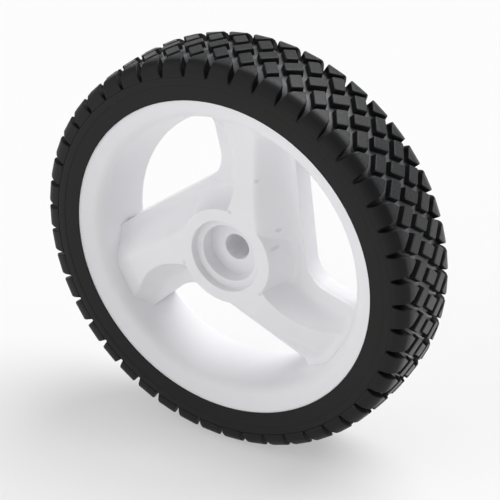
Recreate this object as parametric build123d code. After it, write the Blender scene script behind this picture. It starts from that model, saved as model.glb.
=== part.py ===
from build123d import *
import math
import os

# Wheel of a walk-behind mower: a knobby rubber tyre on a moulded three-spoke plastic rim.
# The axle runs along Y through the origin, which lies half way across the tyre.
# The front face, with the stepped hub recess, looks along -Y. All lengths are millimetres.

# Overall sizes
TYRE_DIAMETER = 203.2
TYRE_WIDTH = 45.0
SIDEWALL_HEIGHT = 20.7
RIM_WIDTH = 42.8
BORE_DIAMETER = 13.0
WALL = 3.0
TYRE_FIT = 0.1

# Rim section: two flanges and a barrel that narrows to a throat near the back
FLANGE_REACH = 10.1
FLANGE_DISH = 4.0
FLANGE_BLEND = 8.0
BARREL_TAPER = 6.9
THROAT_DEPTH = 31.6
THROAT_BLEND = 2.5

# Hub, with depths measured back from the front edge of the rim
HUB_FACE_DEPTH = 4.1
HUB_TOP_RADIUS = 26.5
HUB_FOOT_RADIUS = 28.5
HUB_TOP_BLEND = 2.5
HUB_FOOT_BLEND = 4.0
RECESS_RADIUS = 19.0
RECESS_DEPTH = 3.9
SOCKET_RADIUS = 14.4
SOCKET_DEPTH = 7.6
BOSS_RADIUS = 11.5
HUB_LENGTH = 38.1
HUB_STAND = 0.15

# Web floor that the windows pierce, the shallower scoops and the pocket round the hub foot
FLOOR_DEPTH = 21.5
SCOOP_RISE = 1.5
POCKET_RADIUS = 33.0

# Spokes: each is a roof with a crisp arc for its trailing ridge and a rolled leading side
SPOKE_COUNT = 3
SPOKE_ANGLE = 97.0
SPOKE_DROP = 15.2
SPOKE_DROP_POWER = 1.5
ROOF_SECTIONS = 4
LEADING_LIP = 35.0
TRAILING_LIP = 0.5
TRAILING_LEAN = 6.5
ROLL_TOP = 25.0
ROLL_SLOPE = 65.0
ROLL_RADIUS = 14.0
ROLL_FOOT_RADIUS = 2.5
RIDGE_RADIUS = 39.9
RIDGE_CENTRE_SIDE = 30.2
RIDGE_CENTRE_OUT = 43.9
RIDGE_FOOT_RADIUS = 11.0
WINDOW_CORNER = 15.0
RIB_WIDTH = 2.4
RIB_SETBACK = 2.0

# Tyre section
CROWN_RADIUS = 137.0
SHOULDER_RADIUS = 7.0
BEAD_STEP = 0.5
BEAD_WIDTH = 7.5

# Tread: blocks in staggered rows between two rows of shoulder lugs
LUG_COUNT = 47
TREAD_PHASE = 1.8
GROOVE_DEPTH = 3.4
BLOCK_SIDE_REACH = 5.0
BLOCK_END_REACH = 5.9
BLOCK_SIDE_SKEW = 1.1
BLOCK_END_SKEW = 0.9
BLOCK_DRAFT = 7.0
ROW_SPACING = 8.7
LUG_TIP_PLACE = 11.9
LUG_SIDE_PLACE = 17.2
LUG_TIP_SKEW = 0.4
LUG_TOP_WIDTH = 8.8
LUG_DRAFT = 3.0
LUG_ROOT = 0.6
NOTCH_REACH = 9.2

# Places worked out from the sizes above
TREAD_RADIUS = TYRE_DIAMETER / 2
TYRE_HALF = TYRE_WIDTH / 2
RIM_EDGE_RADIUS = TREAD_RADIUS - SIDEWALL_HEIGHT
FLANGE_ROOT_RADIUS = RIM_EDGE_RADIUS - FLANGE_REACH
THROAT_RADIUS = FLANGE_ROOT_RADIUS - BARREL_TAPER
RIM_FRONT = -RIM_WIDTH / 2
RIM_BACK = RIM_WIDTH / 2
THROAT_Y = RIM_FRONT + THROAT_DEPTH
HUB_FACE = RIM_FRONT + HUB_FACE_DEPTH
HUB_BACK = HUB_FACE + HUB_LENGTH
SPOKE_FACE = HUB_FACE + HUB_STAND
ROOF_TOP = SPOKE_FACE - SPOKE_DROP * (HUB_TOP_RADIUS / RIM_EDGE_RADIUS) ** SPOKE_DROP_POWER
RECESS_FLOOR = HUB_FACE + RECESS_DEPTH
SOCKET_FLOOR = RECESS_FLOOR + SOCKET_DEPTH
FLOOR = RIM_FRONT + FLOOR_DEPTH
FAR = 2 * TYRE_DIAMETER
SPOKE_STEP = 360 / SPOKE_COUNT
LUG_STEP = 360 / LUG_COUNT


def turn(shape, angle):
    """Turn a shape about the axle, from +X towards +Z."""
    return Rot(0, -angle, 0) * shape


def spin(outline):
    """Revolve a closed outline of (radius, y) about the axle."""
    return revolve(make_face(outline), axis=Axis.Y)


def disc(radius, front, back):
    """A plain cylinder on the axle, from y = front to y = back."""
    outline = Polyline((0, front), (radius, front), (radius, back), (0, back), close=True)
    return spin(outline)


def rim_curve():
    """The visible line of the rim section, from the front edge through the throat to the back edge."""
    return FilletPolyline(
        (RIM_EDGE_RADIUS, RIM_FRONT),
        (FLANGE_ROOT_RADIUS, RIM_FRONT + FLANGE_DISH),
        (THROAT_RADIUS, THROAT_Y),
        (RIM_EDGE_RADIUS, RIM_BACK),
        radius=[FLANGE_BLEND, THROAT_BLEND],
    )


def inside_line(grow):
    """The bore of the barrel as a solid, grown by a given amount and carried on past both edges."""
    slope = (FLANGE_ROOT_RADIUS - THROAT_RADIUS) / (THROAT_DEPTH - FLANGE_DISH)
    front_radius = FLANGE_ROOT_RADIUS + slope * FLANGE_DISH + grow
    back_radius = THROAT_RADIUS + grow
    return spin(Polyline(
        (0, RIM_FRONT), (front_radius, RIM_FRONT), (back_radius, THROAT_Y), (0, THROAT_Y), close=True))


def rim_section():
    """Section of both flanges and the barrel, one wall thick, cut off square at the rim edge."""
    band = make_face(offset(rim_curve(), amount=WALL, side=Side.RIGHT))
    edge = Rectangle(RIM_EDGE_RADIUS, RIM_WIDTH, align=(Align.MIN, Align.CENTER))
    return band & edge


def spoke_frame(index):
    """Plane across one spoke: local x runs to its leading side, local y along the axle."""
    angle = SPOKE_ANGLE + index * SPOKE_STEP
    out = Vector(math.cos(math.radians(angle)), 0, math.sin(math.radians(angle)))
    side = Vector(math.sin(math.radians(angle)), 0, -math.cos(math.radians(angle)))
    return Plane(origin=(0, 0, 0), x_dir=side, z_dir=out)


def roof_section(inset, share):
    """Section across the first spoke at a share of the way to the rim edge, lower towards the rim."""
    drop = SPOKE_DROP * share ** SPOKE_DROP_POWER
    rise = FLOOR - ROOF_TOP - drop
    run = 1 / math.tan(math.radians(ROLL_SLOPE))
    foot = ROLL_TOP + (FLOOR - ROOF_TOP) * run - inset * math.tan(math.radians(ROLL_SLOPE / 2))
    top = FLOOR - rise + inset
    tail = -RIDGE_CENTRE_SIDE / 2
    end = LEADING_LIP + 2 * WALL
    round_top = ROLL_RADIUS * rise / (FLOOR - ROOF_TOP)
    curve = FilletPolyline(
        (tail, top), (foot - rise * run, top), (foot, FLOOR + inset), (end, FLOOR + inset),
        radius=[round_top - inset * round_top / ROLL_RADIUS, ROLL_FOOT_RADIUS])
    close = Polyline(curve @ 1, (end, THROAT_Y), (tail, THROAT_Y), curve @ 0)
    frame = spoke_frame(0)
    place = Plane(origin=frame.z_dir * (share * RIM_EDGE_RADIUS), x_dir=frame.x_dir, z_dir=frame.z_dir)
    return place * make_face(curve + close)


def roof(inset):
    """Roof of the first spoke, level with the hub face and falling to the rim, or set in by a wall."""
    shares = [index / (ROOF_SECTIONS - 1) for index in range(ROOF_SECTIONS)]
    return loft([roof_section(inset, share) for share in shares]) - disc(FAR, -FAR, SPOKE_FACE + inset)


def ridge_cut(grow, floor):
    """Round scoop down to a floor that leaves the trailing ridge of the first spoke and its hollow foot."""
    frame = spoke_frame(0)
    centre = frame.x_dir * -RIDGE_CENTRE_SIDE + frame.z_dir * RIDGE_CENTRE_OUT
    cut = disc(RIDGE_RADIUS + grow, -FAR, floor)
    cut = fillet(cut.edges().sort_by(Axis.Y)[-1], RIDGE_FOOT_RADIUS + grow)
    return Pos(centre) * cut


def scoop():
    """Front of the scoop, with the deeper round pocket about the hub foot."""
    return ridge_cut(0, FLOOR - SCOOP_RISE) + (ridge_cut(0, FLOOR) & disc(POCKET_RADIUS, -FAR, FAR))


def window(grow):
    """Opening between the first spoke's leading lip and the next spoke's trailing lip."""
    side = LEADING_LIP - grow
    lip = TRAILING_LIP - grow
    angle = math.radians(SPOKE_STEP - TRAILING_LEAN)
    corner_out = (lip + side * math.cos(angle)) / math.sin(angle)
    corner = (side, corner_out)
    along = (side, RIM_EDGE_RADIUS)
    far = (corner[0] + RIM_EDGE_RADIUS * math.sin(angle), corner[1] + RIM_EDGE_RADIUS * math.cos(angle))
    beyond = (along[0] + far[0], along[1])
    outline = make_face(Polyline(corner, along, beyond, far, close=True))
    inner = outline.vertices().sort_by_distance((side, corner_out, 0))[0]
    outline = fillet(inner, WINDOW_CORNER + grow)
    frame = spoke_frame(0)
    plan = Plane(origin=(0, 0, 0), x_dir=frame.x_dir, z_dir=frame.x_dir.cross(frame.z_dir))
    return extrude(plan * outline, amount=FAR, both=True)


def all_round(shape):
    """Copies of a shape for every spoke."""
    return [turn(shape, index * SPOKE_STEP) for index in range(SPOKE_COUNT)]


def hub_outline(inset):
    """Front line of the hub, from its face down the flank to the web floor."""
    return FilletPolyline(
        (0, HUB_FACE + inset),
        (HUB_TOP_RADIUS - inset, HUB_FACE + inset),
        (HUB_FOOT_RADIUS - inset, FLOOR + inset),
        (LEADING_LIP + WALL, FLOOR + inset),
        radius=[HUB_TOP_BLEND - inset / 2, HUB_FOOT_BLEND],
    )


def hub_body(inset):
    """Solid hub under its front line, down to the back of the web."""
    line = hub_outline(inset)
    return spin(line + Polyline(line @ 1, (LEADING_LIP + WALL, THROAT_Y), (0, THROAT_Y), line @ 0))


def hollow():
    """Space behind the spokes, with one rib left standing along each."""
    reach = inside_line(WALL / 2)
    roof_space = (roof(WALL) - ridge_cut(WALL, FLOOR + WALL)) & reach
    space = (reach & disc(FAR, FLOOR + WALL, FAR)) + hub_body(WALL)
    for room in all_round(roof_space):
        space = space + room
    for opening in all_round(window(WALL)):
        space = space - opening
    core = disc(SOCKET_RADIUS + WALL, -FAR, SOCKET_FLOOR + WALL) + disc(BOSS_RADIUS, -FAR, FAR)
    core = core + disc(RECESS_RADIUS + WALL, -FAR, RECESS_FLOOR + WALL)
    space = space - core
    frame = spoke_frame(0)
    rib = frame * Box(RIB_WIDTH, FAR, RIM_EDGE_RADIUS, align=(Align.CENTER, Align.CENTER, Align.MIN))
    rib = rib & disc(FAR, -FAR, THROAT_Y - RIB_SETBACK)
    for wall in all_round(rib):
        space = space - wall
    return space


def rim():
    """Moulded rim: barrel and flanges, web floor, hub and hollow spokes in one piece."""
    ring = revolve(rim_section(), axis=Axis.Y)
    reach = inside_line(WALL / 2)
    web = reach & disc(FAR, FLOOR, THROAT_Y)
    web = web + hub_body(0)
    spoke = (roof(0) - scoop()) & reach
    for blade in all_round(spoke):
        web = web + blade
    for opening in all_round(window(0)):
        web = web - opening
    web = web - hollow()
    body = ring + web + disc(BOSS_RADIUS, SOCKET_FLOOR, HUB_BACK)
    body = body - disc(RECESS_RADIUS, -FAR, RECESS_FLOOR)
    body = body - disc(SOCKET_RADIUS, -FAR, SOCKET_FLOOR)
    return body - disc(BORE_DIAMETER / 2, -FAR, FAR)


def crown_height(place):
    """Radius of the tread tops at a place across the tyre."""
    return TREAD_RADIUS - CROWN_RADIUS + math.sqrt(CROWN_RADIUS ** 2 - place ** 2)


def shoulder_points():
    """Start, middle and end of the rounded shoulder between the sidewall and the tread tops."""
    side = TYRE_HALF - SHOULDER_RADIUS
    reach = CROWN_RADIUS - SHOULDER_RADIUS
    centre = TREAD_RADIUS - CROWN_RADIUS + math.sqrt(reach ** 2 - side ** 2)
    lean = math.asin(side / reach)
    half = (lean + math.pi / 2) / 2
    start = (centre, TYRE_HALF)
    middle = (centre + SHOULDER_RADIUS * math.cos(half), side + SHOULDER_RADIUS * math.sin(half))
    end = (centre + SHOULDER_RADIUS * math.cos(lean), side + SHOULDER_RADIUS * math.sin(lean))
    return start, middle, end


def mirrored(point):
    """The same point of a section on the front half of the tyre."""
    return (point[0], -point[1])


def carcass():
    """Tyre without its blocks: bead, sidewalls and the groove floor, seated on the rim."""
    bead = (RIM_EDGE_RADIUS, TYRE_HALF - BEAD_STEP)
    wall_foot = (RIM_EDGE_RADIUS + BEAD_WIDTH, TYRE_HALF)
    notch_foot = (TREAD_RADIUS - NOTCH_REACH, TYRE_HALF)
    floor_end = (crown_height(LUG_TIP_PLACE) - GROOVE_DEPTH, LUG_TIP_PLACE)
    floor_top = (TREAD_RADIUS - GROOVE_DEPTH, 0)
    points = [bead, wall_foot, notch_foot, floor_end]
    back = Polyline((0, bead[1]), *points)
    front = Polyline(*[mirrored(point) for point in reversed(points)], (0, -bead[1]))
    crown = ThreePointArc(floor_end, floor_top, mirrored(floor_end))
    axle = Line((0, -bead[1]), (0, bead[1]))
    section = make_face(back + crown + front + axle)
    seat = offset(rim_curve(), amount=WALL + TYRE_FIT, side=Side.RIGHT)
    core = make_face(seat) + make_face(rim_curve() + Polyline(
        (RIM_EDGE_RADIUS, RIM_BACK), (RIM_EDGE_RADIUS, FAR), (0, FAR), (0, -FAR),
        (RIM_EDGE_RADIUS, -FAR), (RIM_EDGE_RADIUS, RIM_FRONT)))
    edge = Rectangle(RIM_EDGE_RADIUS + TYRE_FIT, 2 * FAR, align=(Align.MIN, Align.CENTER))
    return revolve(section - (core & edge), axis=Axis.Y)


def block(place, lean):
    """Skewed tread block with its top on the crown, leaning left or right by the sign of lean."""
    tilt = math.asin(place / CROWN_RADIUS)
    normal = Vector(math.cos(tilt), math.sin(tilt), 0)
    across = Vector(-math.sin(tilt), math.cos(tilt), 0)
    top = Plane(origin=(crown_height(place), place, 0), x_dir=across, z_dir=normal)
    outline = Polyline(
        (-lean * BLOCK_SIDE_SKEW, -BLOCK_SIDE_REACH), (-BLOCK_END_REACH, -lean * BLOCK_END_SKEW),
        (lean * BLOCK_SIDE_SKEW, BLOCK_SIDE_REACH), (BLOCK_END_REACH, lean * BLOCK_END_SKEW), close=True)
    return extrude(top * make_face(outline), amount=-(GROOVE_DEPTH + WALL / 2), taper=-BLOCK_DRAFT)


def lug():
    """Shoulder lug of the back edge: pointed towards the tread centre, rounded over the shoulder."""
    start, middle, end = shoulder_points()
    root = TREAD_RADIUS - NOTCH_REACH - LUG_ROOT
    tip = (crown_height(LUG_TIP_PLACE), LUG_TIP_PLACE)
    side_view = Polyline(end, tip, (root, LUG_TIP_PLACE), (root, TYRE_HALF), start, middle, close=True)
    body = extrude(make_face(side_view), amount=LUG_TOP_WIDTH, both=True)
    half_top = LUG_TOP_WIDTH / 2
    half_root = half_top + (TREAD_RADIUS - root) * math.tan(math.radians(LUG_DRAFT))
    face = Polyline(
        (TREAD_RADIUS, half_top), (root, half_root),
        (root, -half_root), (TREAD_RADIUS, -half_top), close=True)
    across = Plane(origin=(0, 0, 0), x_dir=(1, 0, 0), z_dir=(0, -1, 0))
    body = body & extrude(across * make_face(face), amount=FAR, both=True)
    above = Plane(origin=(0, 0, 0), x_dir=(0, 1, 0), z_dir=(1, 0, 0))
    arrow = Polyline(
        (LUG_TIP_PLACE, LUG_TIP_SKEW), (LUG_SIDE_PLACE, half_top), (LUG_SIDE_PLACE, LUG_TOP_WIDTH),
        (FAR, LUG_TOP_WIDTH), (FAR, -LUG_TOP_WIDTH), (LUG_SIDE_PLACE, -LUG_TOP_WIDTH),
        (LUG_SIDE_PLACE, -half_top), close=True)
    return body & extrude(above * make_face(arrow), amount=FAR)


def tyre():
    """Rubber tyre with its tread blocks and shoulder lugs in one piece."""
    back_lug = lug()
    front_lug = Rot(180, 0, 0) * back_lug
    pieces = []
    for index in range(LUG_COUNT):
        notch = TREAD_PHASE + index * LUG_STEP
        middle = notch + LUG_STEP / 2
        pieces.append(turn(back_lug, middle))
        pieces.append(turn(front_lug, middle))
        pieces.append(turn(block(-ROW_SPACING, 1), notch))
        pieces.append(turn(block(0, -1), middle))
        pieces.append(turn(block(ROW_SPACING, 1), notch))
    return carcass().fuse(*pieces)


def main():
    os.makedirs("parts", exist_ok=True)
    export_step(rim(), "parts/rim.step")
    export_step(tyre(), "parts/tyre.step")


if __name__ == "__main__":
    main()
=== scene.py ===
import math

import bpy
import numpy as np
from mathutils import Matrix, Vector


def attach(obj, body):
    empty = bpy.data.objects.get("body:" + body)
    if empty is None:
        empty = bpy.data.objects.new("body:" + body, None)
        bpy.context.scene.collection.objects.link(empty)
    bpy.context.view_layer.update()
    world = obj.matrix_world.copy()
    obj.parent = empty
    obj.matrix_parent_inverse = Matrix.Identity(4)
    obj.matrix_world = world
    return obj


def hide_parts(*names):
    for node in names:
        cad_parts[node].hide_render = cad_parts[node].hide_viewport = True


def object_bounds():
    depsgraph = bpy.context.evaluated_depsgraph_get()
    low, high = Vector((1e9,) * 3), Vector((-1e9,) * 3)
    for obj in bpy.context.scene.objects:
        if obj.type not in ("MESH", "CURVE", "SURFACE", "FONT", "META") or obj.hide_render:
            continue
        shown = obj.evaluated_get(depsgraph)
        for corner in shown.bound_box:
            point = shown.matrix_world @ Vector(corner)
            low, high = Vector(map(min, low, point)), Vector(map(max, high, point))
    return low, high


bl_info = {
    "name": "Mower wheel dressing",
    "version": (1, 0, 0),
    "blender": (4, 5, 0),
    "location": "3D View > Sidebar > Wheel",
    "description": "Finishes a three-spoke mower wheel and sets it in a pale studio",
    "category": "Object",
}

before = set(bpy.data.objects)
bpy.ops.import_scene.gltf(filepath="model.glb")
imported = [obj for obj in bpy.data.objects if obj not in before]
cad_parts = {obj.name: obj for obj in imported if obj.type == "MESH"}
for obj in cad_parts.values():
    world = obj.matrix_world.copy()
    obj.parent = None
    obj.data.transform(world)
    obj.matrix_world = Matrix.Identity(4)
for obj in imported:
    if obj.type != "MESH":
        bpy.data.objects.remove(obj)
CAD_BOX = [list(corner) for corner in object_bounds()]

MILLIMETRE = 0.001
BODY = "root"

# Tyre and tread sizes, as in the part
TREAD_RADIUS = 101.6 * MILLIMETRE
CROWN_RADIUS = 137.0 * MILLIMETRE
TYRE_HALF = 22.5 * MILLIMETRE
SEAT_RADIUS = 81.0 * MILLIMETRE
BEAD_STEP = 0.5 * MILLIMETRE
BEAD_RADIUS = 88.4 * MILLIMETRE
NOTCH_RADIUS = 92.4 * MILLIMETRE
GROOVE_DEPTH = 3.4 * MILLIMETRE
SHOULDER_RADIUS = 7.0 * MILLIMETRE
LUG_COUNT = 47
LUG_STEP = math.tau / LUG_COUNT
TREAD_PHASE = math.radians(1.8)
LUG_TIP_PLACE = 11.9 * MILLIMETRE
LUG_SIDE_PLACE = 17.2 * MILLIMETRE
LUG_TIP_SKEW = 0.4 * MILLIMETRE
LUG_HALF_WIDTH = 4.4 * MILLIMETRE
LUG_DRAFT = math.radians(3.0)
BLOCK_END = (5.9 * MILLIMETRE, 0.9 * MILLIMETRE)
BLOCK_SIDE = (1.1 * MILLIMETRE, 5.0 * MILLIMETRE)
BLOCK_DRAFT = math.radians(7.0)
ROW_SPACING = 8.7 * MILLIMETRE

# Rim sizes, as in the part
RIM_EDGE_RADIUS = 80.9 * MILLIMETRE
RIM_HALF = 21.4 * MILLIMETRE
FLANGE_ROOT = (70.8 * MILLIMETRE, -17.4 * MILLIMETRE)
THROAT = (63.9 * MILLIMETRE, 10.2 * MILLIMETRE)
FLANGE_BLEND = 8.0 * MILLIMETRE
THROAT_BLEND = 2.5 * MILLIMETRE
WALL = 3.0 * MILLIMETRE
HUB_FACE = -17.3 * MILLIMETRE
SOCKET = (14.4 * MILLIMETRE, -5.8 * MILLIMETRE)
BORE_RADIUS = 6.5 * MILLIMETRE
BOSS_RADIUS = 11.5 * MILLIMETRE
HUB_BACK = 20.8 * MILLIMETRE
SPOKE_ANGLES = tuple(math.radians(angle) for angle in (97.0, 217.0, 337.0))
SPOKE_FACE = -17.15 * MILLIMETRE
ROOF_TOP = -20.0 * MILLIMETRE
SPOKE_DROP = 15.2 * MILLIMETRE
SPOKE_DROP_POWER = 1.5
RIDGE_CENTRE = (-30.2 * MILLIMETRE, 43.9 * MILLIMETRE)
RIDGE_RADIUS = 39.9 * MILLIMETRE
LEADING_LIP = 35.0 * MILLIMETRE
TRAILING_LIP = 0.5 * MILLIMETRE
WINDOW_ANGLE = math.radians(113.5)
WINDOW_CORNER = 15.0 * MILLIMETRE
RIB_HALF = 1.2 * MILLIMETRE
RIB_BACK = 8.2 * MILLIMETRE

# Softer form of the web, fitted to the photo
FLOOR_LEVEL = -0.6 * MILLIMETRE
HUB_TOP_RADIUS = 24.0 * MILLIMETRE
HUB_FOOT_RADIUS = 33.5 * MILLIMETRE
HUB_INNER = 20.6 * MILLIMETRE
RECESS = (18.3 * MILLIMETRE, -13.4 * MILLIMETRE)
ROLL_TOP = 18.8 * MILLIMETRE
ROLL_FOOT = 38.0 * MILLIMETRE
ROOT_BEGIN = (-6.0 * MILLIMETRE, 14.0 * MILLIMETRE)
TAIL_SIDE = (-16.0 * MILLIMETRE, -12.0 * MILLIMETRE)
SCOOP_RUN = 11.5 * MILLIMETRE
BLEND_RISE = 0.8

# How finely the surfaces are worked, and how far they run into each other
ROOT_DEPTH = 5.6 * MILLIMETRE
WINDOW_REACH = 154.0 * MILLIMETRE
SLOPE_REACH = 0.1 * MILLIMETRE
SNAP_SHARE = 0.15
BLEND_PASSES = 4
BLOCK_ARC_STEPS = 3
LUG_ARC_STEPS = 5
CROWN_STEPS = 5
LUG_CROWN_STEPS = 3
SECTION_ARC_STEPS = 10
HUB_ARC_STEPS = 4
WINDOW_ARC_STEPS = 24
WINDOW_SIDE_STEPS = 90
RIB_STEPS = 40
RING_COLUMNS = 180
HUB_COLUMNS = 144
CARCASS_COLUMNS = 4 * LUG_COUNT

# Finish values that stay as they are
PLASTIC_IOR = 1.48
SCATTER_WEIGHT = 0.15
SCATTER_SPREAD = (1.0, 1.0, 0.95)
SCATTER_REACH = 1.5 * MILLIMETRE
EDGE_SAMPLES = 6
RUBBER_IOR = 1.5
RUBBER_SPECULAR = 0.3
NOISE_MEAN = 0.5
CLOUD_DETAIL = 3.0
GRAIN_DETAIL = 2.0
RUBBER_CLOUD_DETAIL = 4.0
RUBBER_GRAIN_DETAIL = 3.0
SPOT_CORE = 0.5
# How the painted light on the tread tops is kept to the tops, clouded and grained.
TOP_CORE = 0.2
TOP_CLOUD = 0.3
TOP_GRAIN = 1.4
SIDE_GRAIN = 0.25
# Depth band of the groove floors, which get a painted sheen and extra gloss.
GROOVE_BAND = (0.8 * GROOVE_DEPTH, 0.95 * GROOVE_DEPTH)

# Faint moulding marks on the front of the rim, as (x, z)
SINK_MARKS = tuple((x * MILLIMETRE, z * MILLIMETRE) for x, z in ((15.6, 42.5), (24.5, 16.9), (24.5, 8.9)))
GATE_RADIUS = 24.6 * MILLIMETRE
GATE_MARKS = tuple(
    (GATE_RADIUS * math.cos(math.radians(angle)), GATE_RADIUS * math.sin(math.radians(angle)))
    for angle in (83, 203, 323))
MARK_BACK = -2.0 * MILLIMETRE

PHOTO_SENSOR = 36.0


# Shader expressions


class Wire:
    """A value socket that adds Math nodes when it is used in a Python expression."""

    def __init__(self, graph, socket):
        self.graph = graph
        self.socket = socket

    def combine(self, operation, first, second):
        return self.graph.node(
            "ShaderNodeMath", {"operation": operation}, {0: first, 1: second})

    def __add__(self, other):
        return self.combine("ADD", self, other)

    __radd__ = __add__

    def __sub__(self, other):
        return self.combine("SUBTRACT", self, other)

    def __rsub__(self, other):
        return self.combine("SUBTRACT", other, self)

    def __mul__(self, other):
        return self.combine("MULTIPLY", self, other)

    __rmul__ = __mul__

    def __pow__(self, other):
        return self.combine("POWER", self, other)

    def above(self, low, high):
        """0 below low, 1 above high and a smooth step between them."""
        return self.graph.node(
            "ShaderNodeMapRange",
            {"interpolation_type": "SMOOTHSTEP"},
            {"Value": self, "From Min": low, "From Max": high})


class Graph:
    """Node tree of one material."""

    def __init__(self, name):
        self.material = bpy.data.materials.new(name)
        self.material.use_nodes = True
        self.tree = self.material.node_tree
        self.tree.nodes.clear()

    def node(self, kind, settings=None, inputs=None, output=0):
        """Add a node, set its settings, then its sockets, and give one of its outputs."""
        made = self.tree.nodes.new(kind)
        for name, value in (settings or {}).items():
            setattr(made, name, value)
        for name, value in (inputs or {}).items():
            socket = self.find(made.inputs, name)
            if isinstance(value, Wire):
                self.tree.links.new(value.socket, socket)
            else:
                socket.default_value = value
        return Wire(self, self.find(made.outputs, output)) if made.outputs else None

    @staticmethod
    def find(sockets, name):
        """A socket by its place, or by its identifier or name."""
        if isinstance(name, int):
            return sockets[name]
        for socket in sockets:
            if socket.identifier == name:
                return socket
        return sockets[name]

    def place(self):
        """Object coordinates, in metres in the wheel's own frame."""
        return self.node("ShaderNodeTexCoord", output="Object")

    def parts(self, vector):
        """The x, y and z of a vector as three wires."""
        split = self.node("ShaderNodeSeparateXYZ", inputs={"Vector": vector})
        sockets = split.socket.node.outputs
        return [Wire(self, sockets[axis]) for axis in ("X", "Y", "Z")]

    def grain(self, place, scale, detail):
        """Noise from 0 to 1 with about scale features to the metre."""
        return self.node(
            "ShaderNodeTexNoise", inputs={"Vector": place, "Scale": scale, "Detail": detail},
            output="Fac")

    def blend(self, factor, first, second):
        """Colour mix from first to second."""
        return self.node(
            "ShaderNodeMix", {"data_type": "RGBA"},
            {"Factor_Float": factor, "A_Color": first, "B_Color": second}, "Result_Color")

    def spots(self, x, z, centres, radius):
        """1 inside small round spots seen from the front and 0 outside them."""
        total = 0.0
        for across, up in centres:
            off = (x - across) * (x - across) + (z - up) * (z - up)
            total = total + (1.0 - off.above((SPOT_CORE * radius) ** 2, radius ** 2))
        return total

    def surface(self, shader):
        self.node("ShaderNodeOutputMaterial", inputs={"Surface": shader})
        return self.material


def opaque(colour):
    """An RGB property as the RGBA that a colour socket takes."""
    return (colour[0], colour[1], colour[2], 1.0)


def plastic_finish(finish):
    """White moulded plastic: satin, a little see-through, with soft edges and faint moulding marks
    darkened with painted shade.
    """
    graph = Graph("white_moulded_plastic")
    place = graph.place()
    x, y, z = graph.parts(place)
    marks = graph.spots(x, z, SINK_MARKS, finish.mark_radius)
    marks = marks + graph.spots(x, z, GATE_MARKS, finish.mark_radius)
    marks = marks * (1.0 - y.above(MARK_BACK, 0.0))
    cloud = graph.grain(place, finish.cloud_scale, CLOUD_DETAIL)
    grain = graph.grain(place, finish.grain_scale, GRAIN_DETAIL)
    tone = graph.blend(cloud, opaque(finish.plastic_shade), opaque(finish.plastic_colour))
    # Painted shade: the moulding marks' dimples are darkened in the colour, on top of their real dent in
    # the bump.
    tone = graph.blend(marks * finish.mark_shade_strength, tone, opaque(finish.mark_painted_shade))
    rough = finish.plastic_roughness + (cloud - NOISE_MEAN) * finish.roughness_spread
    soft = graph.node(
        "ShaderNodeBevel", {"samples": EDGE_SAMPLES}, {"Radius": finish.plastic_edge}, "Normal")
    bump = graph.node(
        "ShaderNodeBump", inputs={
            "Strength": finish.plastic_bump, "Distance": finish.grain_depth,
            "Height": grain - marks, "Normal": soft},
        output="Normal")
    shader = graph.node("ShaderNodeBsdfPrincipled", inputs={
        "Base Color": tone, "Roughness": rough, "Normal": bump, "IOR": PLASTIC_IOR,
        "Subsurface Weight": SCATTER_WEIGHT, "Subsurface Radius": SCATTER_SPREAD,
        "Subsurface Scale": SCATTER_REACH})
    return graph.surface(shader)


def rubber_finish(finish):
    """Black moulded rubber: grained tread tops lightened by painted light, glossy grooves with a painted
    sheen, and a sidewall that darkens outwards with painted shade.
    """
    graph = Graph("black_moulded_rubber")
    place = graph.place()
    x, y, z = graph.parts(place)
    radius = (x * x + z * z) ** 0.5
    crown = TREAD_RADIUS - CROWN_RADIUS + (CROWN_RADIUS ** 2 - y * y) ** 0.5
    edge = (y * y).above(LUG_TIP_PLACE ** 2, LUG_SIDE_PLACE ** 2)
    top = (radius - crown).above(-finish.top_band, -TOP_CORE * finish.top_band)
    groove = (crown - radius).above(*GROOVE_BAND) * (1.0 - edge)
    # Painted shade: the sidewall darkens outwards, towards the lugs' outer flanks.
    shoulder = edge * radius.above(NOTCH_RADIUS, NOTCH_RADIUS + finish.shoulder_shade_fade)
    cloud = graph.grain(place, finish.rubber_cloud_scale, RUBBER_CLOUD_DETAIL)
    grain = graph.grain(place, finish.rubber_grain_scale, RUBBER_GRAIN_DETAIL)
    wall = graph.blend(cloud, opaque(finish.rubber_shade), opaque(finish.rubber_colour))
    wall = graph.blend(shoulder, wall, opaque(finish.shoulder_painted_shade))
    speckle = TOP_CLOUD * cloud + TOP_GRAIN * grain
    # Painted light: the tread tops are lightened, with clouding and grain in the lightening.
    tone = graph.blend(top * speckle, wall, opaque(finish.tread_painted_light))
    # Painted sheen: the groove floors are coloured light grey, as if they reflected the light.
    tone = graph.blend(groove, tone, opaque(finish.groove_painted_sheen))
    rough = finish.rubber_roughness + (cloud - NOISE_MEAN) * finish.roughness_spread
    rough = rough - top * finish.tread_gloss - groove * finish.groove_gloss
    bump = graph.node(
        "ShaderNodeBump", inputs={
            "Strength": finish.rubber_bump, "Distance": finish.grain_depth,
            "Height": grain * (SIDE_GRAIN + (1.0 - SIDE_GRAIN) * top)},
        output="Normal")
    shader = graph.node("ShaderNodeBsdfPrincipled", inputs={
        "Base Color": tone, "Roughness": rough, "Normal": bump,
        "IOR": RUBBER_IOR, "Specular IOR Level": RUBBER_SPECULAR})
    return graph.surface(shader)


def floor_finish(stage):
    """Pale matt floor, whose shadows look lighter to the camera than they are."""
    graph = Graph("pale_floor")
    seen = 0.0
    for ray in ("Is Camera Ray", "Is Glossy Ray", "Is Transmission Ray"):
        seen = seen + graph.node("ShaderNodeLightPath", output=ray)
    matt = graph.node("ShaderNodeBsdfDiffuse", inputs={"Color": opaque(stage.floor_colour)})
    glow = graph.node("ShaderNodeEmission", inputs={"Color": opaque(stage.backdrop_colour)})
    shader = graph.node("ShaderNodeMixShader", inputs={0: seen * stage.shadow_lift, 1: matt, 2: glow})
    return graph.surface(shader)


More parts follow.
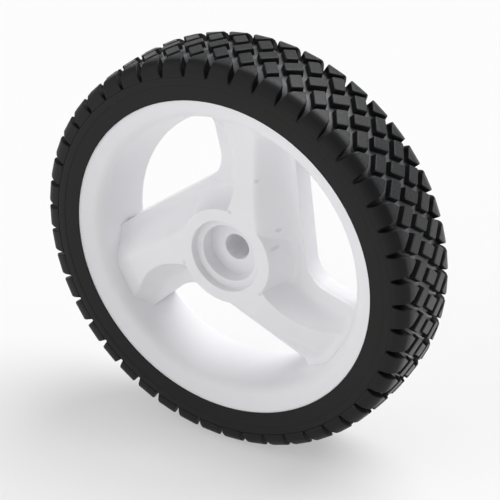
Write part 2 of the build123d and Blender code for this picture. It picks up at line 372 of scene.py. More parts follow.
# Mesh helpers


def piece_from_arrays(name, points, faces, material):
    """A mesh object at the origin from an array of points and a list of arrays of faces."""
    mesh = bpy.data.meshes.new(name)
    mesh.from_pydata(points.tolist(), [], [face for group in faces for face in group.tolist()])
    mesh.materials.append(material)
    mesh.validate()
    mesh.update()
    made = bpy.data.objects.new(name, mesh)
    bpy.context.scene.collection.objects.link(made)
    return made


def smoothed(piece, crease):
    """Shade a piece smooth, with large faces flat and edges past the crease angle sharp."""
    piece.data.shade_smooth()
    piece.data.set_sharp_from_angle(angle=crease)
    weighted = piece.modifiers.new("weighted", "WEIGHTED_NORMAL")
    weighted.keep_sharp = True
    return piece


def node_arrays(node):
    """Welded points and triangles of a frame node."""
    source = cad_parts[node].data
    points = np.empty(len(source.vertices) * 3)
    source.vertices.foreach_get("co", points)
    corners = np.empty(len(source.loops), dtype=np.int64)
    source.loops.foreach_get("vertex_index", corners)
    points, welded = np.unique(np.round(points.reshape(-1, 3), 7), axis=0, return_inverse=True)
    faces = welded.reshape(-1)[corners].reshape(-1, 3)
    alike = (faces == np.roll(faces, 1, axis=1)).any(axis=1)
    return points, faces[~alike]


# Tyre surfaces, worked in (radius, across, along) about the axle


def crown_height(place):
    """Radius of the tread's crown at a place across it: T - C + sqrt(C^2 - y^2)."""
    return TREAD_RADIUS - CROWN_RADIUS + np.sqrt(CROWN_RADIUS ** 2 - np.square(place))


def grid_faces(rows, columns, closed):
    """Quads of a grid of points, closed in its columns when they run round."""
    wide = columns if closed else columns - 1
    row, column = np.meshgrid(np.arange(rows - 1), np.arange(wide), indexing="ij")
    beside = (column + 1) % columns
    corners = (row * columns + column, (row + 1) * columns + column,
               (row + 1) * columns + beside, row * columns + beside)
    return np.stack(corners, axis=-1).reshape(-1, 4)


def around(points, angles):
    """Copies of (radius, across, along) points turned about the axle by angles.

    x = r cos(a) - t sin(a), z = r sin(a) + t cos(a).
    """
    radius, across, along = points.T
    cosine, sine = np.cos(angles)[:, None], np.sin(angles)[:, None]
    turned = (radius * cosine - along * sine, across + 0.0 * cosine, radius * sine + along * cosine)
    return np.stack(turned, axis=-1).reshape(-1, 3)


def repeated(faces, size, count):
    """Faces of count copies of a shape with size points."""
    return (faces[None] + size * np.arange(count)[:, None, None]).reshape(-1, faces.shape[1])


def turned_surface(profile, columns, closed):
    """A profile of (radius, y) revolved about the axle."""
    points = np.column_stack([profile, np.zeros(len(profile))])
    turned = around(points, np.arange(columns) * math.tau / columns)
    turned = turned.reshape(columns, len(profile), 3).transpose(1, 0, 2)
    faces = grid_faces(len(profile), columns, True)
    if closed:
        last = (len(profile) - 1) * columns
        column = np.arange(columns)
        beside = (column + 1) % columns
        faces = np.concatenate([faces, np.column_stack([last + column, column, beside, last + beside])])
    return turned.reshape(-1, 3), faces


def edge_roll(roll):
    """Inset and depth of an edge rounded by a quarter circle: (b - b sin a, b - b cos a)."""
    angle = np.linspace(0.0, math.pi / 2, BLOCK_ARC_STEPS)
    return roll - roll * np.sin(angle), roll - roll * np.cos(angle)


def carcass_surface(finish):
    """Sidewalls and groove floor, revolved from a profile of (radius, across)."""
    crown = np.linspace(0.0, LUG_TIP_PLACE, CROWN_STEPS)
    step, line = finish.bead_line, 0.5 * finish.bead_line
    half = np.concatenate([
        np.column_stack([crown_height(crown) - GROOVE_DEPTH, crown]),
        [(NOTCH_RADIUS + step, TYRE_HALF - 2 * step), (NOTCH_RADIUS - step, TYRE_HALF),
         (BEAD_RADIUS + step, TYRE_HALF), (BEAD_RADIUS, TYRE_HALF - step),
         (BEAD_RADIUS - step, TYRE_HALF - line),
         (SEAT_RADIUS + step, TYRE_HALF - BEAD_STEP), (SEAT_RADIUS, TYRE_HALF - BEAD_STEP - step)]])
    profile = np.concatenate([half[:0:-1] * (1.0, -1.0), half])
    return turned_surface(profile, CARCASS_COLUMNS, False)


def block_surface(finish, place, lean, angles):
    """Tread blocks of one row: rounded outlines stacked from the top down the drafted sides.

    Each corner is an arc about c, where n1.c = h1 - s and n2.c = h2 - s for the edges beside it.
    """
    corner = np.array([(BLOCK_END[0], lean * BLOCK_END[1]), (lean * BLOCK_SIDE[0], BLOCK_SIDE[1])])
    corner = np.concatenate([corner, -corner])
    edge = np.roll(corner, -1, axis=0) - corner
    after = np.column_stack([edge[:, 1], -edge[:, 0]]) / np.linalg.norm(edge, axis=1)[:, None]
    before = np.roll(after, 1, axis=0)
    reach = (after * corner).sum(axis=1)
    cross = before[:, 0] * after[:, 1] - before[:, 1] * after[:, 0]
    inset, depth = edge_roll(finish.tread_roll)
    inset = np.append(inset, -ROOT_DEPTH * math.tan(BLOCK_DRAFT))[:, None]
    depth = np.append(depth, ROOT_DEPTH)
    back = np.roll(reach, 1) - inset - finish.corner_roll
    ahead = reach - inset - finish.corner_roll
    centre_across = back * after[:, 1] - ahead * before[:, 1]
    centre_along = ahead * before[:, 0] - back * after[:, 0]
    centre = np.stack([centre_across, centre_along], axis=-1) / cross[:, None]
    toward = before[:, None] + (after - before)[:, None] * np.linspace(0.0, 1.0, BLOCK_ARC_STEPS)[:, None]
    toward = toward / np.linalg.norm(toward, axis=-1, keepdims=True)
    rings = (centre[:, :, None] + finish.corner_roll * toward).reshape(len(depth), -1, 2)
    tilt = math.asin(place / CROWN_RADIUS)
    across, along = rings[..., 0], rings[..., 1]
    drop = depth[:, None] + 0.0 * across
    radius = crown_height(place) - across * math.sin(tilt) - drop * math.cos(tilt)
    side = place + across * math.cos(tilt) - drop * math.sin(tilt)
    points = np.stack([radius, side, along], axis=-1).reshape(-1, 3)
    count = rings.shape[1]
    quads = repeated(grid_faces(len(depth), count, True), len(points), len(angles))
    caps = repeated(np.arange(count)[None], len(points), len(angles))
    return around(points, angles), quads, caps


def lug_surface(finish, side, angles):
    """Shoulder lugs of one edge: a rounded cross-section carried along the crown and over the shoulder.

    Half width is the smaller of the pointed plan and a flank that closes the gap towards the sidewall:
    w0 + (w1 - w0) s^2, with s from 0 at the tread to 1 where the notch runs out.
    """
    arc_place = TYRE_HALF - SHOULDER_RADIUS
    reach = CROWN_RADIUS - SHOULDER_RADIUS
    arc_radius = TREAD_RADIUS - CROWN_RADIUS + math.sqrt(reach ** 2 - arc_place ** 2)
    lean = math.asin(arc_place / reach)
    turn = np.linspace(lean, math.pi / 2, LUG_ARC_STEPS)
    crown = np.linspace(LUG_TIP_PLACE, arc_place, LUG_CROWN_STEPS)
    place = np.concatenate([crown, arc_place + SHOULDER_RADIUS * np.sin(turn), [TYRE_HALF]])
    arc = arc_radius + SHOULDER_RADIUS * np.cos(turn)
    radius = np.concatenate([crown_height(crown), arc, [NOTCH_RADIUS]])
    facing = np.concatenate([np.arcsin(crown / CROWN_RADIUS), turn, [math.pi / 2]])
    share = np.clip((place - LUG_TIP_PLACE) / (LUG_SIDE_PLACE - LUG_TIP_PLACE), 0.0, 1.0)
    fall = np.clip((TREAD_RADIUS - radius) / (TREAD_RADIUS - NOTCH_RADIUS), 0.0, 1.0)
    closing = NOTCH_RADIUS * LUG_STEP / 2 - finish.notch_gap / 2 - LUG_HALF_WIDTH - finish.lug_tip
    flank = LUG_HALF_WIDTH + closing * fall ** 2
    half = np.where(share < 1.0, np.minimum(share * LUG_HALF_WIDTH, flank), flank) + finish.lug_tip
    inset, depth = edge_roll(finish.tread_roll)
    inset = np.append(inset, -ROOT_DEPTH * math.tan(LUG_DRAFT))
    depth = np.append(depth, ROOT_DEPTH)
    inset = np.concatenate([inset[::-1], inset])
    depth = np.concatenate([depth[::-1], depth])
    hand = np.repeat((-1.0, 1.0), len(depth) // 2)
    along = hand * np.maximum(half[:, None] - inset, 0.0) + LUG_TIP_SKEW * (1.0 - share)[:, None]
    out = radius[:, None] - depth * np.cos(facing)[:, None]
    across = place[:, None] - depth * np.sin(facing)[:, None]
    points = np.stack([out, side * across, side * along], axis=-1).reshape(-1, 3)
    faces = repeated(grid_faces(len(place), len(depth), False), len(points), len(angles))
    tips = repeated(np.arange(len(depth))[None], len(points), len(angles))
    return around(points, angles), faces, tips


def seat_surface():
    """The part's own faces inside the bead, which rest on the rim."""
    points, faces = node_arrays("tyre")
    radius = np.hypot(points[:, 0], points[:, 2])
    inside = (radius[faces] < SEAT_RADIUS + BEAD_STEP / 2).all(axis=1)
    return points, faces[inside]


# Rim surfaces, worked from (side, out) across and along each spoke


def rounded_line(corners, radii, steps):
    """A line through corners whose inner ones are arcs: centre p + R (a + b) / (|a + b| sin h)."""
    corners = np.array(corners)
    back = corners[:-2] - corners[1:-1]
    ahead = corners[2:] - corners[1:-1]
    back = back / np.linalg.norm(back, axis=1, keepdims=True)
    ahead = ahead / np.linalg.norm(ahead, axis=1, keepdims=True)
    half = np.arccos(np.clip((back * ahead).sum(axis=1), -1.0, 1.0)) / 2
    radius = np.array(radii)[:, None]
    middle = back + ahead
    middle = middle / np.linalg.norm(middle, axis=1, keepdims=True)
    centre = corners[1:-1] + middle * radius / np.sin(half)[:, None]
    tangent = radius / np.tan(half)[:, None]
    first = corners[1:-1] + back * tangent - centre
    last = corners[1:-1] + ahead * tangent - centre
    share = np.linspace(0.0, 1.0, steps)[:, None]
    spokes = first[:, None] + (last - first)[:, None] * share
    spokes = spokes * radius[:, None] / np.linalg.norm(spokes, axis=-1, keepdims=True)
    arcs = (centre[:, None] + spokes).reshape(-1, 2)
    return np.concatenate([corners[:1], arcs, corners[-1:]])


def smooth_step(value, low, high):
    """0 below low, 1 above high: 3 t^2 - 2 t^3 between them."""
    share = np.clip((value - low) / (high - low), 0.0, 1.0)
    return share * share * (3.0 - 2.0 * share)


def hollow_step(value, low, high):
    """0 below low, 1 above high, steep at first and then hollow: 1 - (1 - t)^3 (1 + 3 t) between them."""
    share = np.clip((value - low) / (high - low), 0.0, 1.0)
    return 1.0 - (1.0 - share) ** 3 * (1.0 + 3.0 * share)


def across_spoke(x, z, angle):
    """Places to the leading side of a spoke's line and out along it."""
    return x * math.sin(angle) - z * math.cos(angle), x * math.cos(angle) + z * math.sin(angle)


def web_height(finish, x, z):
    """Front of the web: y = floor - h, with h the soft greatest of the hub's and the spokes' heights.

    A spoke's height is its roof's, times a smooth fall to its leading lip, times a hollow fall inside
    the scoop's circle, (1 - s)^n. The hub's is a hollow flank, (1 - s)^m, with a low step at its foot.
    The soft greatest of a and b is (a + b + sqrt((a - b)^2 + k^2)) / 2. A fillet rises to the barrel.
    """
    radius = np.hypot(x, z)
    flank = np.clip((radius - HUB_TOP_RADIUS) / (HUB_FOOT_RADIUS - HUB_TOP_RADIUS), 0.0, 1.0)
    height = (FLOOR_LEVEL - HUB_FACE) * (1.0 - flank) ** finish.hub_hollow
    foot = smooth_step(radius, HUB_FOOT_RADIUS - finish.hub_step, HUB_FOOT_RADIUS)
    height = height + finish.hub_step * (1.0 - foot)
    for angle in SPOKE_ANGLES:
        side, out = across_spoke(x, z, angle)
        drop = SPOKE_DROP * (np.maximum(out, 0.0) / RIM_EDGE_RADIUS) ** SPOKE_DROP_POWER
        roof = FLOOR_LEVEL - np.maximum(SPOKE_FACE, ROOF_TOP + drop)
        roof = roof * (1.0 - hollow_step(side, ROLL_TOP, ROLL_FOOT))
        roof = roof * smooth_step(out, *ROOT_BEGIN) * smooth_step(side, *TAIL_SIDE)
        inside = RIDGE_RADIUS - np.hypot(side - RIDGE_CENTRE[0], out - RIDGE_CENTRE[1])
        scoop = np.clip(inside / SCOOP_RUN, 0.0, 1.0)
        roof = roof * (1.0 - scoop) ** finish.scoop_hollow
        height = (height + roof + np.sqrt(np.square(height - roof) + finish.web_blend ** 2)) / 2
    y = np.maximum(FLOOR_LEVEL - height, HUB_FACE)
    level = y
    for _ in range(BLEND_PASSES):
        near = np.clip((radius - barrel_radius(level)) / finish.barrel_blend + 1.0, 0.0, 1.0)
        level = y - BLEND_RISE * finish.barrel_blend * near * near
    return level


def window_depth(x, z):
    """How far inside a window a place is, and the direction that leads further in.

    A window is where both u - lip and n.p - trail are above 0, with its corner an arc about c.
    """
    depth, lead_x, lead_z = np.full(x.shape, -1.0), np.zeros(x.shape), np.zeros(x.shape)
    normal = (-math.cos(WINDOW_ANGLE), math.sin(WINDOW_ANGLE))
    centre_side = LEADING_LIP + WINDOW_CORNER
    centre_out = (TRAILING_LIP + WINDOW_CORNER - normal[0] * centre_side) / normal[1]
    for angle in SPOKE_ANGLES:
        side, out = across_spoke(x, z, angle)
        lip = side - LEADING_LIP
        trail = normal[0] * side + normal[1] * out - TRAILING_LIP
        off_side, off_out = side - centre_side, out - centre_out
        beyond = -off_out / normal[1]
        before = -off_side - beyond * normal[0]
        rounded = (beyond > 0.0) & (before > 0.0)
        reach = np.maximum(np.hypot(off_side, off_out), MILLIMETRE)
        inside = np.where(rounded, WINDOW_CORNER - reach, np.minimum(lip, trail))
        to_side = np.where(rounded, -off_side / reach, np.where(lip < trail, 1.0, normal[0]))
        to_out = np.where(rounded, -off_out / reach, np.where(lip < trail, 0.0, normal[1]))
        nearer = inside > depth
        depth = np.where(nearer, inside, depth)
        lead_x = np.where(nearer, to_side * math.sin(angle) + to_out * math.cos(angle), lead_x)
        lead_z = np.where(nearer, -to_side * math.cos(angle) + to_out * math.sin(angle), lead_z)
    return depth, lead_x, lead_z


def barrel_radius(y):
    """Inside radius of the barrel, which narrows evenly towards the throat."""
    share = (y - FLANGE_ROOT[1]) / (THROAT[1] - FLANGE_ROOT[1])
    return FLANGE_ROOT[0] + (THROAT[0] - FLANGE_ROOT[0]) * share


def web_surface(finish):
    """Front and back of the web: a height over rings round the axle, and the same set back by a wall.

    Points inside a window are drawn back on to its outline, and points past the barrel into its wall.
    """
    rows, columns = finish.web_rows, finish.web_columns
    ring, spacing = np.linspace(HUB_INNER, FLANGE_ROOT[0] + WALL, rows, retstep=True)
    ring = ring[:, None]
    turn = (np.arange(columns) * math.tau / columns)[None]
    x, z = ring * np.cos(turn), ring * np.sin(turn)
    depth, lead_x, lead_z = window_depth(x, z)
    near = SNAP_SHARE * spacing
    pull = np.where(depth > -near, depth, 0.0)
    x, z = x - pull * lead_x, z - pull * lead_z
    y = web_height(finish, x, z)
    radius = np.hypot(x, z)
    limit = barrel_radius(y) + WALL / 2
    kept = np.minimum(1.0, limit / radius)
    front = np.stack([x * kept, y, z * kept], axis=-1)
    rise_x = web_height(finish, x + SLOPE_REACH, z) - web_height(finish, x - SLOPE_REACH, z)
    rise_z = web_height(finish, x, z + SLOPE_REACH) - web_height(finish, x, z - SLOPE_REACH)
    normal = np.stack([rise_x, np.full(x.shape, -2 * SLOPE_REACH), rise_z], axis=-1)
    normal = normal / np.linalg.norm(normal, axis=-1, keepdims=True)
    back = (front - WALL * normal)[::2, ::2]
    used = (depth < -near) & (radius < limit + spacing)
    faces = grid_faces(rows, columns, True)
    faces = faces[used.reshape(-1)[faces].any(axis=1)]
    count = front.shape[0] * front.shape[1]
    behind = grid_faces(back.shape[0], back.shape[1], True)
    behind = behind[used[::2, ::2].reshape(-1)[behind].any(axis=1)][:, ::-1]
    return np.concatenate([front.reshape(-1, 3), back.reshape(-1, 3)]), faces, behind + count


def window_walls(finish):
    """Walls round the three windows: their outline carried back from the web's front, one wall thick."""
    corner_out = (TRAILING_LIP + LEADING_LIP * math.cos(WINDOW_ANGLE)) / math.sin(WINDOW_ANGLE)
    corner = np.array((LEADING_LIP, corner_out))
    end = corner + WINDOW_REACH * np.array((math.sin(WINDOW_ANGLE), math.cos(WINDOW_ANGLE)))
    begin = corner + (0.0, WINDOW_REACH)
    line = rounded_line([begin, corner, end], [WINDOW_CORNER], WINDOW_ARC_STEPS)
    share = np.linspace(0.0, 1.0, WINDOW_SIDE_STEPS)[:, None]
    leading = line[0] + (line[1] - line[0]) * share
    trailing = line[-2] + (line[-1] - line[-2]) * share
    path = np.concatenate([leading, line[2:-2], trailing])
    heading = np.gradient(path, axis=0)
    facing = np.column_stack([heading[:, 1], -heading[:, 0]]) / np.linalg.norm(heading, axis=1)[:, None]
    edges = ((0.0, None), (0.0, THROAT[1]), (WALL, THROAT[1]), (WALL, FLOOR_LEVEL + WALL))
    surfaces = []
    for angle in SPOKE_ANGLES:
        rings = []
        for set_back, depth in edges:
            side, out = (path + set_back * facing).T
            x = side * math.sin(angle) + out * math.cos(angle)
            z = -side * math.cos(angle) + out * math.sin(angle)
            y = web_height(finish, x, z) if depth is None else np.full(x.shape, depth)
            kept = np.minimum(1.0, (barrel_radius(y) + WALL / 2) / np.hypot(x, z))
            rings.append(np.stack([x * kept, y, z * kept], axis=-1))
        points = np.stack(rings)
        surfaces.append((points.reshape(-1, 3), grid_faces(len(rings), len(path), False)[:, ::-1]))
    return surfaces


def ring_surface():
    """Flanges and barrel: the visible line of the rim's section, and the same line set out by a wall."""
    line = rounded_line(
        [(RIM_EDGE_RADIUS, RIM_HALF), THROAT, FLANGE_ROOT, (RIM_EDGE_RADIUS, -RIM_HALF)],
        [THROAT_BLEND, FLANGE_BLEND], SECTION_ARC_STEPS)
    heading = np.gradient(line, axis=0)
    runs = np.diff(line, axis=0)
    length = np.linalg.norm(runs, axis=1)[:, None]
    heading[1:-1] = np.where(length[1:] < length[:-1], runs[1:], runs[:-1])
    facing = np.column_stack([-heading[:, 1], heading[:, 0]]) / np.linalg.norm(heading, axis=1)[:, None]
    outer = line + WALL * facing
    over = np.maximum(outer[:, 0] - RIM_EDGE_RADIUS, 0.0)
    outer = np.column_stack([outer[:, 0] - over, outer[:, 1]])
    return turned_surface(np.concatenate([line, outer[::-1]]), RING_COLUMNS, True)


def hub_surface(finish):
    """Hub core: bore, socket and recess at the front, stepped walls and the boss behind them."""
    roll = finish.hub_edge
    front = rounded_line(
        [(BORE_RADIUS, HUB_BACK), (BORE_RADIUS, SOCKET[1]), SOCKET, (SOCKET[0], RECESS[1]), RECESS,
         (RECESS[0], HUB_FACE), (HUB_INNER, HUB_FACE)], [roll] * 5, HUB_ARC_STEPS)
    step = HUB_INNER + roll
    back = np.array([
        (HUB_INNER, HUB_FACE + WALL), (step, HUB_FACE + WALL), (step, RECESS[1] + WALL),
        (SOCKET[0] + WALL, RECESS[1] + WALL), (SOCKET[0] + WALL, SOCKET[1] + WALL),
        (BOSS_RADIUS, SOCKET[1] + WALL), (BOSS_RADIUS, HUB_BACK)])
    back = np.concatenate([back, front[:1]])
    return [turned_surface(front, HUB_COLUMNS, False), turned_surface(back, HUB_COLUMNS, False)]


def rib_surface(finish):
    """A thin wall behind each spoke: a box section carried out along the spoke under its roof."""
    out = np.linspace(BOSS_RADIUS - RIB_HALF, THROAT[0] + RIB_HALF, RIB_STEPS)
    surfaces = []
    for angle in SPOKE_ANGLES:
        x, z = out * math.cos(angle), out * math.sin(angle)
        top = np.where(out < SOCKET[0] + WALL, SOCKET[1] + WALL / 2, web_height(finish, x, z) + WALL / 2)
        rings = []
        section = ((-RIB_HALF, top), (-RIB_HALF, RIB_BACK), (RIB_HALF, RIB_BACK), (RIB_HALF, top))
        for side, level in section:
            rings.append(np.stack([
                x + side * math.sin(angle), level + 0.0 * out, z - side * math.cos(angle)], axis=-1))
        points = np.stack(rings)
        surfaces.append((points.reshape(-1, 3), grid_faces(len(rings), len(out), False)[:, ::-1]))
    return surfaces


def joined(surfaces):
    """One array of points and its groups of faces from several surfaces."""
    starts = np.cumsum([0] + [len(surface[0]) for surface in surfaces])
    points = np.concatenate([surface[0] for surface in surfaces])
    groups = [group + start for start, surface in zip(starts, surfaces) for group in surface[1:]]
    used = np.zeros(len(points), dtype=bool)
    used[np.concatenate([group.reshape(-1) for group in groups])] = True
    place = np.cumsum(used) - 1
    return points[used], [place[group] for group in groups]


# Sizes and colours that a user would change


class WheelFinish(bpy.types.PropertyGroup):
    """Colours and grain of the plastic and the rubber."""

    plastic_colour: bpy.props.FloatVectorProperty(
        name="Plastic", description="Colour of the rim", subtype="COLOR", default=(0.865, 0.86, 0.885))
    plastic_shade: bpy.props.FloatVectorProperty(
        name="Plastic shade", description="Darker tone of its clouding", subtype="COLOR",
        default=(0.835, 0.83, 0.855))
    plastic_roughness: bpy.props.FloatProperty(
        name="Plastic roughness", description="Mean roughness of the rim", subtype="FACTOR", default=0.42)
    plastic_edge: bpy.props.FloatProperty(
        name="Plastic edges", description="Rounding seen on the rim's edges", unit="LENGTH",
        default=0.0004)
    hub_hollow: bpy.props.FloatProperty(
        name="Hub flank", description="How hollow the hub's flank is", default=2.4)
    scoop_hollow: bpy.props.FloatProperty(
        name="Scoop wall", description="How hollow the scoops' walls are", default=2.2)
    web_blend: bpy.props.FloatProperty(
        name="Web blend", description="Softness where the hub and the spokes meet", unit="LENGTH",
        default=0.0006)
    hub_step: bpy.props.FloatProperty(
        name="Hub foot", description="Height of the step at the hub's foot", unit="LENGTH",
        default=0.0018)
    barrel_blend: bpy.props.FloatProperty(
        name="Barrel blend", description="Fillet between the web and the barrel", unit="LENGTH",
        default=0.005)
    hub_edge: bpy.props.FloatProperty(
        name="Hub edges", description="Rounding of the hub's steps", unit="LENGTH", default=0.0005)
    web_rows: bpy.props.IntProperty(
        name="Web rings", description="Rings of points in the web", default=97)
    web_columns: bpy.props.IntProperty(
        name="Web rays", description="Points round each ring", default=720)
    mark_radius: bpy.props.FloatProperty(
        name="Marks", description="Radius of the moulding marks", unit="LENGTH", default=0.0012)
    # Painted shade in the moulding marks' dimples: how strong it is and its colour.
    mark_shade_strength: bpy.props.FloatProperty(
        name="Mark strength", description="How dark the moulding marks are", subtype="FACTOR",
        default=0.3)
    mark_painted_shade: bpy.props.FloatVectorProperty(
        name="Mark colour", description="Colour of the moulding marks", subtype="COLOR",
        default=(0.45, 0.45, 0.47))
    plastic_bump: bpy.props.FloatProperty(
        name="Plastic grain", description="Strength of the moulded grain", subtype="FACTOR", default=0.12)
    cloud_scale: bpy.props.FloatProperty(
        name="Clouding", description="Clouds to the metre in the plastic", default=38.0)
    grain_scale: bpy.props.FloatProperty(
        name="Grain", description="Grains to the metre in the plastic", default=1400.0)
    grain_depth: bpy.props.FloatProperty(
        name="Grain depth", description="Height of the grain", subtype="DISTANCE", unit="LENGTH",
        default=0.0002)
    roughness_spread: bpy.props.FloatProperty(
        name="Roughness spread", description="How far roughness wanders", subtype="FACTOR", default=0.16)
    rubber_colour: bpy.props.FloatVectorProperty(
        name="Rubber", description="Colour of the sidewalls", subtype="COLOR",
        default=(0.007, 0.007, 0.0062))
    rubber_shade: bpy.props.FloatVectorProperty(
        name="Rubber shade", description="Darker tone of its clouding", subtype="COLOR",
        default=(0.002, 0.002, 0.0018))
    # Painted shade: the darker tone the sidewall takes on towards the lugs' outer flanks, and the height
    # it fades over.
    shoulder_painted_shade: bpy.props.FloatVectorProperty(
        name="Shoulder", description="Colour of the lugs' outer flanks", subtype="COLOR",
        default=(0.001, 0.001, 0.001))
    shoulder_shade_fade: bpy.props.FloatProperty(
        name="Shoulder fade", description="Height over which the sidewall darkens", unit="LENGTH",
        default=0.003)
    # Painted light on the tread tops, which lifts them well above the sidewalls.
    tread_painted_light: bpy.props.FloatVectorProperty(
        name="Tread tops", description="Colour of the tread tops", subtype="COLOR",
        default=(0.034, 0.035, 0.037))
    rubber_roughness: bpy.props.FloatProperty(
        name="Rubber roughness", description="Mean roughness of the tyre", subtype="FACTOR", default=0.54)
    tread_gloss: bpy.props.FloatProperty(
        name="Tread gloss", description="How much smoother the tread tops are", subtype="FACTOR",
        default=0.16)
    # Painted sheen on the groove floors: a light bluish grey standing in for reflected light.
    groove_painted_sheen: bpy.props.FloatVectorProperty(
        name="Grooves", description="Colour of the groove floors", subtype="COLOR",
        default=(0.15, 0.153, 0.163))
    groove_gloss: bpy.props.FloatProperty(
        name="Groove gloss", description="How much smoother the groove floors are", subtype="FACTOR",
        default=0.22)
    rubber_bump: bpy.props.FloatProperty(
        name="Rubber grain", description="Strength of the rubber's grain", subtype="FACTOR", default=1.0)
    rubber_cloud_scale: bpy.props.FloatProperty(
        name="Rubber clouding", description="Clouds to the metre in the rubber", default=90.0)
    rubber_grain_scale: bpy.props.FloatProperty(
        name="Rubber grains", description="Grains to the metre in the rubber", default=1200.0)
    top_band: bpy.props.FloatProperty(
        name="Top band", description="Depth over which the tread tops turn dark", unit="LENGTH",
        default=0.0006)
    tread_roll: bpy.props.FloatProperty(
        name="Tread edges", description="Rounding of the tread's edges", unit="LENGTH", default=0.00055)
    corner_roll: bpy.props.FloatProperty(
        name="Block corners", description="Rounding of the blocks' corners", unit="LENGTH",
        default=0.0007)
    notch_gap: bpy.props.FloatProperty(
        name="Notch gap", description="Width of a notch where it runs out", unit="LENGTH", default=0.0009)
    lug_tip: bpy.props.FloatProperty(
        name="Lug tips", description="Half width of a lug's tip", unit="LENGTH", default=0.0005)
    bead_line: bpy.props.FloatProperty(
        name="Bead line", description="Depth of the line moulded round the sidewall", unit="LENGTH",
        default=0.00025)
    tread_crease: bpy.props.FloatProperty(
        name="Tread crease", description="Tread edges sharper than this stay sharp", subtype="ANGLE",
        default=math.radians(52))
    crease: bpy.props.FloatProperty(
        name="Crease", description="Edges sharper than this stay sharp", subtype="ANGLE",
        default=math.radians(34))


class WheelStage(bpy.types.PropertyGroup):
    """Floor, light and camera."""

    floor_colour: bpy.props.FloatVectorProperty(
        name="Floor", description="Colour of the floor", subtype="COLOR", default=(0.88, 0.88, 0.88))
    backdrop_colour: bpy.props.FloatVectorProperty(
        name="Backdrop", description="White that lifts the floor's shadows", subtype="COLOR",
        default=(0.955, 0.955, 0.955))
    shadow_lift: bpy.props.FloatProperty(
        name="Shadow lift", description="Share of that white in the floor as seen", subtype="FACTOR",
        default=0.42)
    floor_reach: bpy.props.FloatProperty(
        name="Floor reach", description="Half the floor's width", unit="LENGTH", default=4.0)
    sky_colour: bpy.props.FloatVectorProperty(
        name="Room", description="Light of the room", subtype="COLOR", default=(1.0, 1.0, 1.0))
    sky_strength: bpy.props.FloatProperty(
        name="Room light", description="Strength of the room's light", default=0.35)
    key_strength: bpy.props.FloatProperty(
        name="Key light", description="Strength of the broad overhead light", default=2.35)
    key_spread: bpy.props.FloatProperty(
        name="Key spread", description="Width of the overhead light", subtype="ANGLE",
        default=math.radians(50))
    key_from: bpy.props.FloatVectorProperty(
        name="Key from", description="Direction towards the overhead light", subtype="XYZ",
        default=(0.22, 0.45, 0.86))
    fill_strength: bpy.props.FloatProperty(
        name="Fill light", description="Strength of the light beside the camera", default=1.0)
    fill_spread: bpy.props.FloatProperty(
        name="Fill spread", description="Width of the light beside the camera", subtype="ANGLE",
        default=math.radians(70))
    fill_from: bpy.props.FloatVectorProperty(
        name="Fill from", description="Direction towards that light", subtype="XYZ",
        default=(-0.5, -0.75, 0.4))
    camera_azimuth: bpy.props.FloatProperty(
        name="Azimuth", description="Camera's turn from the front", subtype="ANGLE",
        default=math.radians(31.17))
    camera_elevation: bpy.props.FloatProperty(
        name="Elevation", description="Camera's height angle", subtype="ANGLE",
        default=math.radians(28.47))
    camera_distance: bpy.props.FloatProperty(
        name="Distance", description="Camera to its aim", unit="LENGTH", default=1.1021)
    camera_aim: bpy.props.FloatVectorProperty(
        name="Aim", description="Point the camera looks at", subtype="XYZ", unit="LENGTH",
        default=(0.00368, 0.00007, -0.00343))
    camera_lens: bpy.props.FloatProperty(
        name="Lens", description="Focal length in millimetres", default=165.6)


# Operators


class WHEEL_OT_rim(bpy.types.Operator):
    """Finish the moulded plastic rim"""

    bl_idname = "wheel.rim"
    bl_label = "Rim"

    def execute(self, context):
        finish = context.scene.wheel_finish
        points, faces = joined([
            ring_surface(),
            *hub_surface(finish),
            web_surface(finish),
            *window_walls(finish),
            *rib_surface(finish),
        ])
        rim = piece_from_arrays("rim_moulding", points, faces, plastic_finish(finish))
        rim = smoothed(rim, finish.crease)
        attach(rim, BODY)
        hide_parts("rim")
        return {"FINISHED"}


class WHEEL_OT_tyre(bpy.types.Operator):
    """Finish the rubber tyre"""

    bl_idname = "wheel.tyre"
    bl_label = "Tyre"

    def execute(self, context):
        finish = context.scene.wheel_finish
        notches = TREAD_PHASE + LUG_STEP * np.arange(LUG_COUNT)
        middles = notches + LUG_STEP / 2
        surfaces = [
            seat_surface(),
            carcass_surface(finish),
            block_surface(finish, -ROW_SPACING, 1, notches),
            block_surface(finish, 0.0, -1, middles),
            block_surface(finish, ROW_SPACING, 1, notches),
            lug_surface(finish, 1, middles),
            lug_surface(finish, -1, middles),
        ]
        points, faces = joined(surfaces)
        tyre = piece_from_arrays("tyre_rubber", points, faces, rubber_finish(finish))
        tyre = smoothed(tyre, finish.tread_crease)
        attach(tyre, BODY)
        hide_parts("tyre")
        return {"FINISHED"}


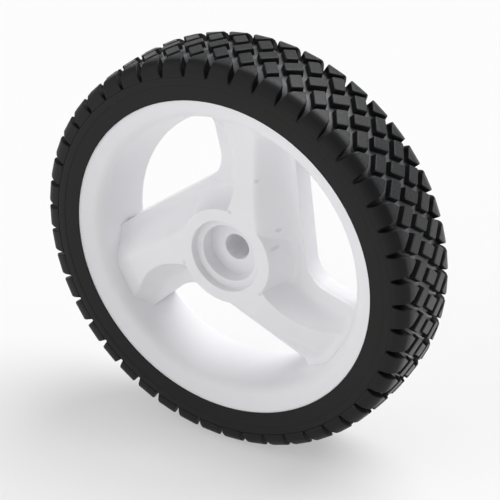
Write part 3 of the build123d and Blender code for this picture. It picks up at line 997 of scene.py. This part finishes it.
class WHEEL_OT_stage(bpy.types.Operator):
    """Set the floor, the light and the camera"""

    bl_idname = "wheel.stage"
    bl_label = "Stage"

    def execute(self, context):
        stage = context.scene.wheel_stage
        self.lay_floor(stage)
        self.light_room(context, stage)
        self.set_camera(context, stage)
        return {"FINISHED"}

    def lay_floor(self, stage):
        level = CAD_BOX[0][2]
        reach = stage.floor_reach
        corners = ((-reach, -reach), (reach, -reach), (reach, reach), (-reach, reach))
        points = np.array([(x, y, level) for x, y in corners])
        floor = piece_from_arrays("floor", points, [np.array([[0, 1, 2, 3]])], floor_finish(stage))

    def light_room(self, context, stage):
        world = bpy.data.worlds.new("room")
        world.use_nodes = True
        room = world.node_tree.nodes["Background"]
        room.inputs["Color"].default_value = opaque(stage.sky_colour)
        room.inputs["Strength"].default_value = stage.sky_strength
        context.scene.world = world
        for name, strength, spread, origin in (
                ("key", stage.key_strength, stage.key_spread, stage.key_from),
                ("fill", stage.fill_strength, stage.fill_spread, stage.fill_from)):
            lamp = bpy.data.lights.new(name, "SUN")
            lamp.energy = strength
            lamp.angle = spread
            light = bpy.data.objects.new(name, lamp)
            light.rotation_euler = Vector(origin).to_track_quat("Z", "Y").to_euler()
            context.scene.collection.objects.link(light)

    def set_camera(self, context, stage):
        """Camera on a sphere round its aim, level with the horizon."""
        turn, lift = stage.camera_azimuth, stage.camera_elevation
        back = Vector((math.sin(turn) * math.cos(lift), -math.cos(turn) * math.cos(lift), math.sin(lift)))
        right = Vector((math.cos(turn), math.sin(turn), 0.0))
        lens = bpy.data.cameras.new("view")
        lens.lens = stage.camera_lens
        lens.sensor_width = PHOTO_SENSOR
        camera = bpy.data.objects.new("view", lens)
        placed = Matrix((right, back.cross(right), back)).transposed().to_4x4()
        placed.translation = Vector(stage.camera_aim) + back * stage.camera_distance
        camera.matrix_world = placed
        context.scene.collection.objects.link(camera)
        context.scene.camera = camera
        context.scene.view_settings.view_transform = "Standard"


class WHEEL_PT_panel(bpy.types.Panel):
    """Lists the wheel's operators and values"""

    bl_idname = "WHEEL_PT_panel"
    bl_label = "Wheel"
    bl_space_type = "VIEW_3D"
    bl_region_type = "UI"
    bl_category = "Wheel"

    def draw(self, context):
        column = self.layout.column()
        for operator in OPERATORS:
            column.operator(operator.bl_idname)
        for group in (context.scene.wheel_finish, context.scene.wheel_stage):
            for name in group.__annotations__:
                column.prop(group, name)


OPERATORS = (WHEEL_OT_rim, WHEEL_OT_tyre, WHEEL_OT_stage)
CLASSES = (WheelFinish, WheelStage, *OPERATORS, WHEEL_PT_panel)


def register():
    for each in CLASSES:
        bpy.utils.register_class(each)
    bpy.types.Scene.wheel_finish = bpy.props.PointerProperty(type=WheelFinish)
    bpy.types.Scene.wheel_stage = bpy.props.PointerProperty(type=WheelStage)


def unregister():
    del bpy.types.Scene.wheel_stage
    del bpy.types.Scene.wheel_finish
    for each in reversed(CLASSES):
        bpy.utils.unregister_class(each)


def main():
    register()
    bpy.ops.wheel.rim()
    bpy.ops.wheel.tyre()
    bpy.ops.wheel.stage()


if __name__ == "__main__":
    main()
